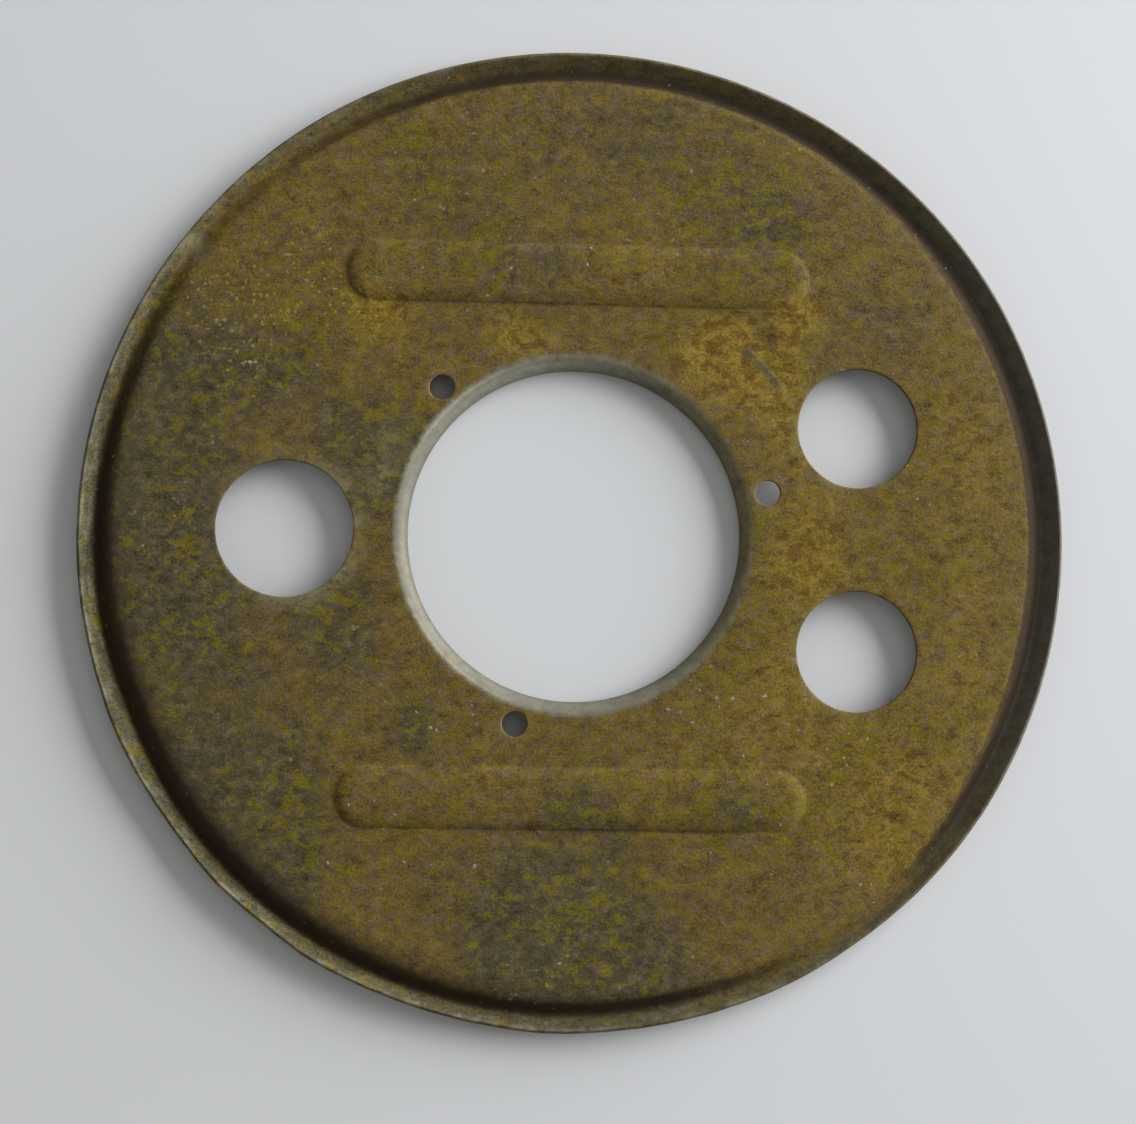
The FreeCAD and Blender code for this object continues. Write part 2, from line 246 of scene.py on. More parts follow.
def rib_distance(x, y, sizes):
    """How far inside the nearer rib's outline a place is, and how far round the rib's end.

    The first is half the rib's width less the distance from its middle line, a segment. The
    second is the share of that distance that lies past the segment: 0 beside it, 1 at the tip.
    """
    half = (sizes.rib_length - sizes.rib_width) / 2
    beyond = np.maximum(np.abs(x) - half, 0.0)
    across = np.abs(y) - sizes.rib_offset
    away = np.hypot(beyond, across)
    return sizes.rib_width / 2 - away, beyond / np.maximum(away, 1e-9)


# Reaches at which the rim's profile starts each bend or straight, and that of its edge.
RimMarks = namedtuple("RimMarks", "shoulder wall floor lip edge")

# The web is flat inside one radius, and its unevenness grows to full over the width after it.
FLAT_RADIUS = 46 * MM
WARP_RUN = 10 * MM
# Width inside the shoulder over which the groove's shift sideways grows to full.
CREEP_RUN = 4 * MM
# Steps in which each half of the profile is tabulated.
PROFILE_STEPS = 2001


class Sheet:
    """The pressed sheet's shape as a function of a place on the flat blank."""

    def __init__(self, sizes, wear):
        self.sizes = sizes
        self.wear = wear
        self.holes = hole_places(sizes)
        self.rim_marks, self.foot_reach = self.lay_out_profile()

    def lay_out_profile(self):
        """Tabulates radius and height against reach, the distance from the axis on the blank.

        Reach equals radius on the flat web. Past each bend the sheet keeps a heading: radius is
        the running sum of its cosine and height the running sum of its sine.
        """
        s = self.sizes
        fall = 1 - cos(s.groove_slope)
        slope = (s.groove_depth - (s.shoulder_bend + s.groove_bend) * fall) / sin(s.groove_slope)
        wall = s.shoulder_start + s.shoulder_bend * s.groove_slope
        floor = wall + slope
        lip = floor + s.groove_bend * (s.groove_slope + s.lip_slope)
        floor_radius = (s.shoulder_start + (s.shoulder_bend + s.groove_bend) * sin(s.groove_slope)
                        + slope * cos(s.groove_slope))
        lip_width = (s.outer_radius - s.sheet * sin(s.lip_slope) - floor_radius
                     - s.groove_bend * sin(s.lip_slope)) / cos(s.lip_slope)
        marks = RimMarks(s.shoulder_start, wall, floor, lip, lip + lip_width)
        outward = np.linspace(s.shoulder_start, marks.edge, PROFILE_STEPS)
        headings = np.interp(outward, marks[:4], [0, -s.groove_slope, -s.groove_slope, s.lip_slope])
        bend_start = s.bore_radius + s.collar_bend
        drop = s.collar_bend * pi / 2 + s.web_height - s.collar_bend
        inward = np.linspace(0, drop, PROFILE_STEPS)
        dives = np.clip(inward / s.collar_bend, 0, pi / 2)
        self.reach = np.concatenate([(bend_start - inward)[::-1], outward])
        self.radius = np.concatenate([(bend_start - running_sum(np.cos(dives), inward))[::-1],
                                      s.shoulder_start + running_sum(np.cos(headings), outward)])
        self.height = np.concatenate([(s.web_height - running_sum(np.sin(dives), inward))[::-1],
                                      s.web_height + running_sum(np.sin(headings), outward)])
        return marks, bend_start - drop

    def warp(self, x, y):
        """Slow unevenness of the web: a sum of plane waves with seeded directions and phases."""
        chance = np.random.default_rng(self.wear.seed)
        total = np.zeros_like(x)
        for wave in (0.05, 0.07, 0.11, 0.16):
            way, phase = chance.uniform(0, 2 * pi, 2)
            total += np.sin((x * np.cos(way) + y * np.sin(way)) * 2 * pi / wave + phase)
        return total * self.wear.warp / 2

    def ripple(self, way):
        """Small hammered waves round the lip: a sum of sines whose whole numbers are seeded, larger
        on the side away from the light."""
        chance = np.random.default_rng(self.wear.seed + 1)
        total = np.zeros_like(way)
        for low, high in ((9, 17), (19, 33), (37, 61), (67, 95)):
            count, phase = chance.integers(low, high), chance.uniform(0, 2 * pi)
            total += np.sin(way * count + phase) * (0.35 + 0.65 * bell(way, 232, 45))
        return total * self.wear.ripple

    def press(self, across, up):
        """Gives the upper side's points for places on the blank.

        The profile is turned round the axis. Bell-shaped knocks push the lip in or out and up or
        down, the groove is shallower where it was crushed, and each rib rises as a cubic that is
        steepest at its foot and level at its crest. The web's warp is weaker on the ribs.
        """
        s = self.sizes
        reach = np.hypot(across, up)
        way = np.arctan2(up, across)
        marks = self.rim_marks
        lip = smooth((reach - marks.floor) / (marks.edge - marks.floor))
        floor = smooth((reach - marks.shoulder) / CREEP_RUN + 1) * (1 - lip)
        web = smooth((reach - FLAT_RADIUS) / WARP_RUN)
        ripple = lip * self.ripple(way)
        radius = np.interp(reach, self.reach, self.radius)
        height = np.interp(reach, self.reach, self.height)
        dip = np.minimum(height - s.web_height, 0.0) * (reach > marks.shoulder)
        push = floor * knocks(way, CREEPS) + lip * knocks(way, PUSHES)
        radius = radius + push * self.wear.knocks + ripple
        height = height + lip * knocks(way, LIFTS) * self.wear.knocks - dip * crush(way) - ripple
        x = radius * np.cos(way)
        y = radius * np.sin(way)
        inside, tip = rib_distance(x, y, s)
        run = s.rib_side_run + (s.rib_end_run - s.rib_side_run) * tip
        climb = np.clip(inside / run, 0, 1)
        height = height + s.rib_height * (1 - (1 - climb) ** 3)
        height = height + web * self.warp(x, y) * (1 - 0.8 * climb)
        return np.column_stack([x, y, height])

    def normals(self, across, up):
        """Unit normals of the upper side, from the cross product of the surface's two slopes."""
        step = 0.02 * MM
        along = self.press(across + step, up) - self.press(across - step, up)
        over = self.press(across, up + step) - self.press(across, up - step)
        normal = np.cross(along, over)
        return normal / np.linalg.norm(normal, axis=1, keepdims=True)


def running_sum(values, places):
    """The integral of values over places, by the trapezium rule, starting at 0."""
    steps = np.diff(places) * (values[1:] + values[:-1]) / 2
    return np.concatenate([[0.0], np.cumsum(steps)])


def smooth(part):
    """An S-curve from 0 to 1: three part squared minus two part cubed."""
    part = np.clip(part, 0.0, 1.0)
    return part * part * (3 - 2 * part)


def bell(way, degrees, spread):
    """A bell curve of the angle round the disc, centred at degrees."""
    away = (way - radians(degrees) + pi) % (2 * pi) - pi
    return np.exp(-(away / radians(spread)) ** 2)


# Knocks: (direction in degrees, spread in degrees, push in millimetres). Pushes move the lip
# outwards, lifts raise it and creeps move the groove outwards.
PUSHES = [
    (2, 55, 0.33), (32, 15, 0.34), (62, 12, 0.12), (95, 30, -0.06), (130, 14, 0.24), (148, 3, 0.12),
    (182, 24, 0.16), (204, 4, 0.16), (217, 5, -0.30), (225, 3, 0.16), (232, 3, -0.30), (240, 3, 0.20),
    (252, 8, -0.26), (261, 3, -0.14), (268, 3, 0.12), (280, 9, -0.20), (298, 7, 0.30), (318, 14, 0.30),
]
LIFTS = [
    (75, 22, 0.10), (140, 9, -0.35), (170, 12, 0.15), (216, 6, -0.25), (233, 4, 0.25), (249, 7, 0.25),
    (266.5, 1.2, -0.35), (284, 9, 0.30), (306, 13, -0.30), (335, 10, 0.12),
]
CREEPS = [(137, 14, 0.5), (204, 9, -0.7), (309, 15, 1.5)]
# Where the groove was crushed: (direction, spread, share of the depth that is lost).
CRUSHES = [(139, 18, 0.52), (304, 16, 0.45)]


def knocks(way, places):
    """The sum of bell-shaped knocks in directions round the disc, in metres."""
    return sum(push * MM * bell(way, degrees, spread) for degrees, spread, push in places)


def crush(way):
    """The share of the groove's depth lost in directions round the disc: a sum of bells."""
    return sum(share * bell(way, degrees, spread) for degrees, spread, share in CRUSHES)


# Points on a ring round the rim and on one round the collar, and rows across a cut edge.
RIM_COUNT = 720
COLLAR_COUNT = 320
EDGE_ROWS = 4

# In millimetres: where rings of points lie inside a rib's outline and outside a hole's edge, how
# far apart the points on them are, and how far from a hole other rings stay.
RIB_INSETS = (-0.9, -0.3, 0.0, 0.25, 0.6, 1.0, 1.5, 2.1, 2.9)
HOLE_OUTSETS = (0.0, 0.3, 0.75)
RIB_STEP = 0.85
HOLE_STEP = 0.75
HOLE_CLEAR = 1.1

# Of the grid's spacing: the step between its rows, and the gap to the rings beside it.
ROW_STEP = 0.866
GRID_GAP = 0.75

# How near a point has to be to a circle to be on it, in metres.
ON_EDGE = 0.004 * MM


def rim_reaches(sheet):
    """Reaches of the rings round the rim, closer together where the profile bends."""
    marks = sheet.rim_marks
    return np.concatenate([
        np.linspace(marks.shoulder - 0.9 * MM, marks.shoulder, 2, endpoint=False),
        np.linspace(marks.shoulder, marks.wall, 4, endpoint=False),
        np.linspace(marks.wall, marks.floor, 4, endpoint=False),
        np.linspace(marks.floor, marks.lip, 6, endpoint=False),
        np.linspace(marks.lip, marks.edge - sheet.sizes.edge_round, 7),
    ])


def collar_reaches(sheet):
    """Reaches of the rings down the collar and over its bend."""
    s = sheet.sizes
    bend = s.bore_radius + s.collar_bend
    return np.concatenate([
        np.linspace(sheet.foot_reach + s.edge_round, bend, 12), bend + np.array([0.5, 1.0]) * MM])


def blank_points(sheet):
    """Scatters points over the blank: rings round the rim, the collar, the ribs and the holes,
    and a triangular grid over the plain web between them."""
    s = sheet.sizes
    rim, collar = rim_reaches(sheet), collar_reaches(sheet)
    rings = [ring((0, 0), reach, RIM_COUNT, 0.5 * (k % 2)) for k, reach in enumerate(rim)]
    rings += [ring((0, 0), reach, COLLAR_COUNT, 0.5 * (k % 2)) for k, reach in enumerate(collar)]
    half = (s.rib_length - s.rib_width) / 2
    for inset in RIB_INSETS:
        for middle in (s.rib_offset, -s.rib_offset):
            rings.append(slot_ring(half, s.rib_width / 2 - inset * MM, middle, RIB_STEP * MM))
    points = np.concatenate(rings + [web_grid(sheet, rim[0], collar[-1])])
    for x, y, radius in sheet.holes:
        away = np.hypot(points[:, 0] - x, points[:, 1] - y)
        points = points[away > radius + s.edge_round + HOLE_CLEAR * MM]
        count = max(48, int(2 * pi * radius / (HOLE_STEP * MM)))
        for k, out in enumerate(HOLE_OUTSETS):
            around = ring((x, y), radius + s.edge_round + out * MM, count, 0.5 * (k % 2))
            points = np.concatenate([points, around])
    return points


def web_grid(sheet, outer, inner):
    """A triangular grid over the web: rows of points, every other row moved along by half a
    spacing. It is kept clear of the rings."""
    s = sheet.sizes
    rows = np.arange(-outer, outer, s.spacing * ROW_STEP)
    columns = np.arange(-outer, outer, s.spacing)
    x, y = np.meshgrid(columns, rows)
    x = (x + (np.arange(len(rows)) % 2)[:, None] * s.spacing / 2).ravel()
    y = y.ravel()
    reach = np.hypot(x, y)
    inside, _ = rib_distance(x, y, s)
    gap = GRID_GAP * s.spacing
    keep = (reach < outer - gap) & (reach > inner + gap)
    keep &= (inside < RIB_INSETS[0] * MM - gap) | (inside > RIB_INSETS[-1] * MM + gap)
    for hx, hy, radius in sheet.holes:
        keep &= np.hypot(x - hx, y - hy) > radius + s.edge_round + HOLE_OUTSETS[-1] * MM + gap
    return np.column_stack([x, y])[keep]


def triangulate(sheet):
    """Joins the blank's points in triangles that face up, and leaves the holes open."""
    s = sheet.sizes
    points = blank_points(sheet) / MM
    made = delaunay_2d_cdt([Vector(point) for point in points.tolist()], [], [], 0, 1e-5, False)
    points = np.array([point[:] for point in made[0]]) * MM
    faces = np.array(made[2])
    middle = points[faces].mean(axis=1)
    keep = np.hypot(middle[:, 0], middle[:, 1]) > sheet.foot_reach + s.edge_round
    for x, y, radius in sheet.holes:
        keep &= np.hypot(middle[:, 0] - x, middle[:, 1] - y) > radius + s.edge_round * 0.999
    faces = faces[keep]
    one = points[faces[:, 1]] - points[faces[:, 0]]
    two = points[faces[:, 2]] - points[faces[:, 0]]
    down = one[:, 0] * two[:, 1] < one[:, 1] * two[:, 0]
    faces[down] = faces[down][:, ::-1]
    return points, faces


def edge_loop(points, x, y, radius):
    """Numbers of the points on one circular edge of the blank, in order round it."""
    from_middle = points - (x, y)
    on_edge = np.flatnonzero(np.abs(np.hypot(*from_middle.T) - radius) < ON_EDGE)
    return on_edge[np.argsort(np.arctan2(from_middle[on_edge, 1], from_middle[on_edge, 0]))]


def edge_wall(top, bottom, normal, loop, bulge, outward, first):
    """Rounds a cut edge between the two sides of the sheet.

    The wall is half of a squarish oval: the cosine of a turn carries it from the upper side to
    the lower one and the sine carries it out from the material, each under a square root.
    """
    tangent = np.roll(top, -1, axis=0) - np.roll(top, 1, axis=0)
    away = np.cross(normal, tangent) * outward
    away /= np.linalg.norm(away, axis=1, keepdims=True)
    turns = np.linspace(0, pi, EDGE_ROWS + 2)[1:-1, None, None]
    along = np.sign(np.cos(turns)) * np.sqrt(np.abs(np.cos(turns)))
    points = (top + bottom) / 2 + along * (top - bottom) / 2 + np.sqrt(np.sin(turns)) * bulge * away
    count = len(loop[0])
    middle_rows = first + np.arange(EDGE_ROWS * count).reshape(EDGE_ROWS, count)
    grid = np.vstack([loop[0], middle_rows, loop[1]])
    nearer, further = grid[:-1], grid[1:]
    near_next, far_next = np.roll(nearer, -1, axis=1), np.roll(further, -1, axis=1)
    quads = np.stack([nearer, near_next, far_next, further], axis=-1).reshape(-1, 4)
    if outward < 0:
        quads = quads[:, ::-1]
    return points.reshape(-1, 3), quads


def press_sheet(sheet):
    """Presses the blank into a closed sheet: upper side, lower side and rounded cut edges.

    The lower side lies one thickness below the upper side, along its normals. Gives the points,
    the triangles and each point's place on the blank.
    """
    s = sheet.sizes
    blank, faces = triangulate(sheet)
    top = sheet.press(*blank.T)
    normal = sheet.normals(*blank.T)
    bottom = top - normal * s.sheet
    count = len(top)
    triangles = [faces, faces[:, ::-1] + count]
    vertices = [top, bottom]
    blanks = [blank, blank]
    used = 2 * count
    edges = [(x, y, radius + s.edge_round, 1) for x, y, radius in sheet.holes]
    edges.append((0, 0, sheet.foot_reach + s.edge_round, 1))
    edges.append((0, 0, sheet.rim_marks.edge - s.edge_round, -1))
    for x, y, radius, outward in edges:
        loop = edge_loop(blank, x, y, radius)
        wall, quads = edge_wall(top[loop], bottom[loop], normal[loop], (loop, loop + count),
                                s.edge_round, outward, used)
        vertices.append(wall)
        blanks.append(np.tile(blank[loop], (len(wall) // len(loop), 1)))
        triangles += [quads[:, [0, 1, 2]], quads[:, [0, 2, 3]]]
        used += len(wall)
    return np.concatenate(vertices), np.concatenate(triangles), np.concatenate(blanks)


def make_mesh(name, vertices, faces):
    """Makes a smooth mesh of triangles from whole arrays."""
    mesh = bpy.data.meshes.new(name)
    mesh.vertices.add(len(vertices))
    mesh.vertices.foreach_set("co", vertices.astype(np.float32).ravel())
    mesh.loops.add(faces.size)
    mesh.loops.foreach_set("vertex_index", faces.astype(np.int32).ravel())
    mesh.polygons.add(len(faces))
    mesh.polygons.foreach_set("loop_start", np.arange(0, faces.size, 3, dtype=np.int32))
    mesh.polygons.foreach_set("use_smooth", np.ones(len(faces), dtype=bool))
    mesh.update(calc_edges=True)
    return mesh


def paint(mesh, name, values):
    """Stores one number a vertex under a name that the material reads."""
    layer = mesh.attributes.new(name, "FLOAT", "POINT")
    layer.data.foreach_set("value", np.clip(values, 0, 1).astype(np.float32))


# Patches on the web: (x, y, radius) in millimetres and strength.
# The broad patches at the head of FRESH_RUST, on the right, and of GREY_PATCHES, on the left and at the
# bottom, make the web lighter and more orange towards the light and darker and greyer away from it.
FRESH_RUST = [
    (96, 4, 24, 0.3), (80, -58, 22, 0.35), (86, 44, 20, 0.25), (30, 34, 12, 0.35),
    (50, 50, 8, 0.9), (36, 46, 8, 0.7), (44, 36, 9, 0.8), (52, 24, 8, 0.8), (50, -6, 10, 0.8),
    (28, 42, 7, 0.6), (-47, 50, 7, 0.9), (-40, 47, 7, 0.5), (-15, 45, 6, 0.9), (-8, 43, 4, 0.5),
    (56, -28, 9, 0.5), (66, -56, 22, 0.45), (88, -5, 14, 0.25), (92, -30, 12, 0.4), (76, -76, 9, 0.5),
    (30, -50, 16, 0.35), (14, 62, 12, 0.4), (10, 84, 14, 0.1), (-62, 76, 8, 0.35), (-44, -20, 6, 0.35),
    (-74, -8, 7, 0.3), (-68, -66, 9, 0.3), (88, 22, 12, 0.3), (-20, -55, 10, 0.25),
    (54, 6, 10, 0.45), (46, -32, 14, 0.45), (60, -12, 9, 0.3),
]
GREY_PATCHES = [
    (-104, -4, 26, 0.7), (-4, -104, 24, 0.5), (-56, 0, 30, 0.25),
    (-92, 10, 18, 1.0), (-84, -14, 14, 0.8), (-78, -45, 20, 0.7), (-50, -24, 12, 0.8), (-44, 16, 12, 0.8),
    (-78, 40, 14, 0.5), (-8, -84, 22, 0.7), (20, -96, 14, 0.8), (-8, 60, 10, 0.7), (68, 48, 12, 0.8),
    (20, 92, 18, 0.4), (-30, 78, 16, 0.4), (44, 72, 12, 0.6), (-64, -78, 12, 0.6), (0, -60, 9, 0.4),
    (38, -60, 7, 0.6), (-36, -46, 10, 0.6), (-60, 30, 10, 0.5),
    (-70, -64, 16, 0.6), (-90, 38, 12, 0.6), (0, 92, 18, 0.4), (94, 4, 12, 0.4),
]
GOLD_GRAINS = [
    (-74, 46, 12, 0.9), (-62, 62, 9, 0.7), (-48, 51, 7, 0.9), (-86, 52, 7, 0.6), (-20, 74, 10, 0.35),
    (20, 70, 8, 0.4), (48, 30, 10, 0.35), (-44, -32, 9, 0.35), (60, -48, 14, 0.3), (-4, -98, 8, 0.4),
]
GRIT = [
    (1.2, 63.5, 2.5, 0.9), (-15.8, 62, 2.5, 0.8), (44.5, 29.5, 3, 1), (40, 88, 3, 0.9),
    (46.5, 88.5, 4, 1), (-32.5, -41.5, 3.5, 1), (66, -77.5, 4, 1), (-12, -101, 6, 0.6),
    (-2, -92, 5, 0.5), (-72, 44, 14, 0.35), (-20, -36, 10, 0.3), (30, -34, 14, 0.35),
    (58, -48, 12, 0.35), (-40, -70, 16, 0.3), (-88, 0, 12, 0.25), (78, 10, 12, 0.3),
    (-34, 84, 14, 0.3),
]
STAINS = [
    (42, 48, 3.4, 0.55), (44.4, 44.6, 2.2, 0.5), (38, 50.8, 2.2, 0.45), (46, 41.5, 1.8, 0.35),
    (66, 10, 5, 0.25), (-44, -2, 4, 0.25),
]
RUBS = [(-43.5, 12.5, 3.0, 0.9), (-42, 20, 4, 0.3), (-87.8, 62.6, 3.0, 1.8), (55, 47, 2.6, 0.25)]

# Pale rubbed bands beside the holes, and painted light inside the rim on the side the light comes
# from: direction and spread in degrees, width in millimetres and strength.
SCREW_BAND = (215, 90, 2.0, 0.5)
SINGLE_BAND = (-20, 120, 4.6, 0.8)
PAIR_BAND = (205, 70, 2.4, 0.6)
# painted light: the rim's shoulder where it slopes towards the light
RIM_LIGHT = (20, 55, 6.0, 0.15)

# The side that the light comes from: direction and spread in degrees.
LIT_SIDE = (8, 58)


def patches(x, y, places):
    """The sum of soft round patches, each a bell curve of the distance from its middle."""
    return sum(share * np.exp(-((x - px * MM) ** 2 + (y - py * MM) ** 2) / (size * MM) ** 2)
               for px, py, size, share in places)


def hole_bands(sheet, x, y):
    """Light bands beside the holes: full at the edge and fading across the band's width, strongest
    in one direction from the hole's middle."""
    bands = [SCREW_BAND] * SCREW_CIRCLE["count"] + [SINGLE_BAND] + [PAIR_BAND] * 2
    total = np.zeros_like(x)
    for (hx, hy, radius), (direction, spread, width, share) in zip(sheet.holes, bands):
        away = np.hypot(x - hx, y - hy) - radius
        way = np.arctan2(y - hy, x - hx)
        fade = 1 - smooth(away / (width * MM))
        total = np.maximum(total, share * bell(way, direction, spread) * fade)
    return total


def painted_rim_light(sheet, reach, way):
    """Painted light: a faint pale band on the side the light comes from, that grows over its width up
    to the shoulder and stops where the groove's wall begins.
    """
    direction, spread, width, share = RIM_LIGHT
    marks = sheet.rim_marks
    grown = smooth((reach - marks.shoulder + 0.5 * MM) / (width * MM) + 1)
    return grown * (reach < marks.wall) * bell(way, direction, spread) * share


def groove_dirt_and_shade(sheet, reach, way):
    """Dirt in the groove, with painted shade. It ends in a short fade at the shoulder, and in a long
    one of painted shade over the web on the side away from the light. On the lit side painted shade
    starts at once, where the lip shades the groove, and there is less of both where the groove is
    crushed."""
    marks = sheet.rim_marks
    inner = smooth((reach - marks.shoulder - 0.1 * MM) / (2.5 * MM))
    # painted shade in the groove on the side the light comes from, where the lip shades it
    lit = smooth((reach - marks.shoulder + 0.1 * MM) / (1.0 * MM)) * bell(way, *LIT_SIDE)
    outer = 1 - smooth((reach - marks.floor - 0.4 * MM) / (2.0 * MM))
    # painted shade over the web's slope into the groove, on the side away from the light
    spread = smooth((reach - marks.shoulder + 7.5 * MM) / (9.0 * MM)) ** 1.3 * 0.9 * bell(way, 218, 66)
    share = 1 - 0.85 * bell(way, 138, 24) - 0.8 * bell(way, 303, 15)
    return np.maximum(np.maximum(inner, spread), lit) * outer * share


def rib_dirt_and_shade(sheet, x, y):
    """Dirt and painted shade along the foot of each rib's lower side, heavier round the left end, where
    an arc of painted shade lies: both sides face away from the light.
    """
    s = sheet.sizes
    inside, tip = rib_distance(x, y, s)
    # dirt and painted shade along the foot of the lower side, fading out towards the right end
    line = np.exp(-((inside + 0.05 * MM) / (0.42 * MM)) ** 2)
    lower = smooth((np.sign(y) * s.rib_offset - y) / (5 * MM)) * smooth((44 * MM - x) / (10 * MM))
    left = (tip > 0) & (x < 0)
    # painted shade: an arc round the left end, which faces away from the light
    arc = np.exp(-((inside - 1.1 * MM) / (1.5 * MM)) ** 2) * tip * left
    return np.maximum(line * lower * 0.55, arc * 0.24)


def collar_wear(sheet, reach, way):
    """Bare steel at the collar, most on the side the light reaches, and a painted highlight along the
    line where the sheet turns down, only where a glint would fall, with a paler band down the wall
    on one side."""
    s = sheet.sizes
    bend = s.bore_radius + s.collar_bend
    out = 2.0 + 1.2 * bell(way, 110, 50) + 0.6 * bell(way, 262, 40)
    share = 0.38 + 0.62 * np.maximum(bell(way, 160, 100), 0.8 * bell(way, 265, 70))
    bare = (1 - smooth((reach - bend + 1.0 * MM) / (out * MM))) * share
    # painted highlight: the line where the sheet turns down, kept to the two places a glint would fall
    line = np.exp(-((reach - bend + 0.5 * MM) / (0.55 * MM)) ** 2)
    lit = np.maximum(bell(way, 137, 22), bell(way, 224, 26))
    return bare, np.maximum(line * lit, 0.45 * (reach < bend - 1.4 * MM) * bell(way, 108, 32))


def lip_streaks(sheet, reach, way):
    """Long pale and dark streaks round the lip: sines of the direction whose phase drifts across
    the lip, with a dark crease under the edge on the side away from the light."""
    marks = sheet.rim_marks
    across = (reach - marks.lip) / (marks.edge - marks.lip)
    waves = np.sin(way * 23 + 5 * across) + np.sin(way * 41 - 7 * across + 1)
    waves += np.sin(way * 67 + 9 * across)
    crease = np.exp(-((across - 0.72) / 0.10) ** 2) * bell(way, 222, 50)
    return 0.5 + waves / 6 - 0.7 * crease


def mark_wear_light_and_shade(mesh, sheet, vertices, blank):
    """Paints where the collar is rubbed bare, the painted highlight at its bend, where dirt and
    painted shade lie, painted light at the rim's shoulder, painted shade on the lip of the lit side,
    the lip's film and the patches.
    """
    x, y = vertices[:, 0], vertices[:, 1]
    reach = np.hypot(*blank.T)
    way = np.arctan2(y, x)
    marks = sheet.rim_marks
    bare, polish = collar_wear(sheet, reach, way)
    rubs = np.maximum(hole_bands(sheet, x, y), patches(x, y, RUBS))
    # dirt in the groove and at the ribs' feet, with painted shade where they face away from the light
    dirt = np.maximum(groove_dirt_and_shade(sheet, reach, way), rib_dirt_and_shade(sheet, x, y))
    lip = smooth((reach - marks.lip + 0.5 * MM) / (1.2 * MM))
    edge = smooth((reach - marks.edge + 1.2 * MM) / (0.7 * MM))
    paint(mesh, "bare", bare)
    # painted highlight at the collar's bend, and a paler band down its wall
    paint(mesh, "polish", polish)
    paint(mesh, "wall", 1 - smooth((reach - sheet.foot_reach - 1.5 * MM) / (3.2 * MM)))
    # rubs beside the holes, and painted light on the rim's shoulder
    paint(mesh, "rub", np.maximum(rubs, painted_rim_light(sheet, reach, way)))
    # dirt and stains, with painted shade in the groove and at the ribs' feet
    paint(mesh, "dirt", np.maximum(dirt, patches(x, y, STAINS)))
    paint(mesh, "lip", lip * (0.35 + 0.65 * bell(way, 195, 75)))
    # worn steel along the lip's edge; the larger share on the side away from the light is painted light on
    # the shaded edge
    paint(mesh, "edge", edge * (0.5 + 0.5 * bell(way, 222, 45)))
    paint(mesh, "streaks", lip_streaks(sheet, reach, way))
    # painted shade on the lip on the side the light comes from, where the lip faces away from the light
    paint(mesh, "oil", smooth((reach - marks.floor) / (0.8 * MM)) * bell(way, *LIT_SIDE))
    spots = {"fresh": FRESH_RUST, "grey": GREY_PATCHES, "grains": GOLD_GRAINS, "grit": GRIT}
    for name, places in spots.items():
        paint(mesh, name, patches(x, y, places))


# Materials.

